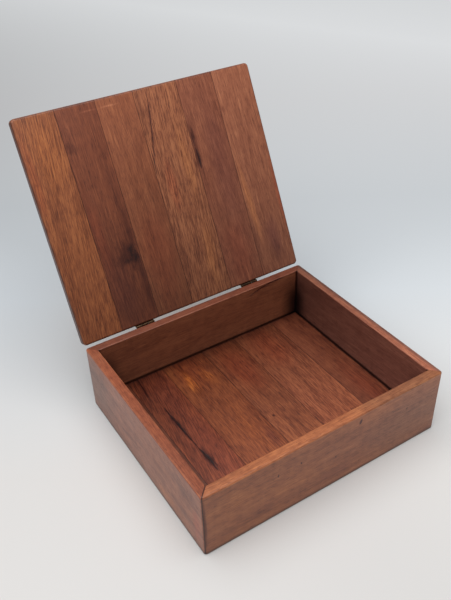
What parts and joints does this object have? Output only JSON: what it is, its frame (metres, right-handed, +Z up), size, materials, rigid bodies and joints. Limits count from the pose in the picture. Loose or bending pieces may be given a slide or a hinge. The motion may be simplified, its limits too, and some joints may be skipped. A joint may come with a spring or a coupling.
{
  "type": "wooden keepsake box",
  "caption": "Shallow rectangular hardwood box with mitred walls, a floating boarded floor and a flat boarded lid that stands open on small brass hinges.",
  "frame": {"origin": "on the surface the box stands on, at the centre of the outline of the open box seen from above", "axes": "+X to the box's right seen from the front, +Y from the front wall to the back wall and the open lid, +Z up"},
  "size_m": [0.322, 0.404, 0.3385],
  "materials": {
    "front_wall_wood": "satin oiled reddish-brown hardwood",
    "back_wall_wood": "satin oiled reddish-brown hardwood",
    "left_wall_wood": "satin oiled reddish-brown hardwood",
    "right_wall_wood": "satin oiled reddish-brown hardwood",
    "floor_board_1_wood": "satin oiled reddish-brown hardwood",
    "floor_board_2_wood": "satin oiled reddish-brown hardwood",
    "floor_board_3_wood": "satin oiled reddish-brown hardwood",
    "floor_board_4_wood": "satin oiled reddish-brown hardwood",
    "floor_board_5_wood": "satin oiled reddish-brown hardwood",
    "floor_board_6_wood": "satin oiled reddish-brown hardwood",
    "lid_board_1_wood": "satin oiled reddish-brown hardwood",
    "lid_board_2_wood": "satin oiled reddish-brown hardwood",
    "lid_board_3_wood": "satin oiled reddish-brown hardwood",
    "lid_board_4_wood": "satin oiled reddish-brown hardwood",
    "lid_board_5_wood": "satin oiled reddish-brown hardwood",
    "lid_board_6_wood": "satin oiled reddish-brown hardwood",
    "brass": "aged and darkened, dull satin"
  },
  "bodies": {
    "box": {"front_wall": "front_wall_wood", "back_wall": "back_wall_wood", "left_wall": "left_wall_wood", "right_wall": "right_wall_wood", "floor_board_1": "floor_board_1_wood", "floor_board_2": "floor_board_2_wood", "floor_board_3": "floor_board_3_wood", "floor_board_4": "floor_board_4_wood", "floor_board_5": "floor_board_5_wood", "floor_board_6": "floor_board_6_wood", "left_hinge_box_leaf": "brass", "left_hinge_pin": "brass", "left_hinge_box_screws": "brass", "right_hinge_box_leaf": "brass", "right_hinge_pin": "brass", "right_hinge_box_screws": "brass"},
    "lid": {"lid_board_1": "lid_board_1_wood", "lid_board_2": "lid_board_2_wood", "lid_board_3": "lid_board_3_wood", "lid_board_4": "lid_board_4_wood", "lid_board_5": "lid_board_5_wood", "lid_board_6": "lid_board_6_wood", "left_hinge_lid_leaf": "brass", "left_hinge_lid_screws": "brass", "right_hinge_lid_leaf": "brass", "right_hinge_lid_screws": "brass"}
  },
  "joints": [
    {"name": "lid_hinge", "type": "hinge", "parent": "box", "child": "lid", "pos_m": [0, 0.07033, 0.09015], "axis": [1, 0, 0], "range_deg": [0, 116]}
  ]
}
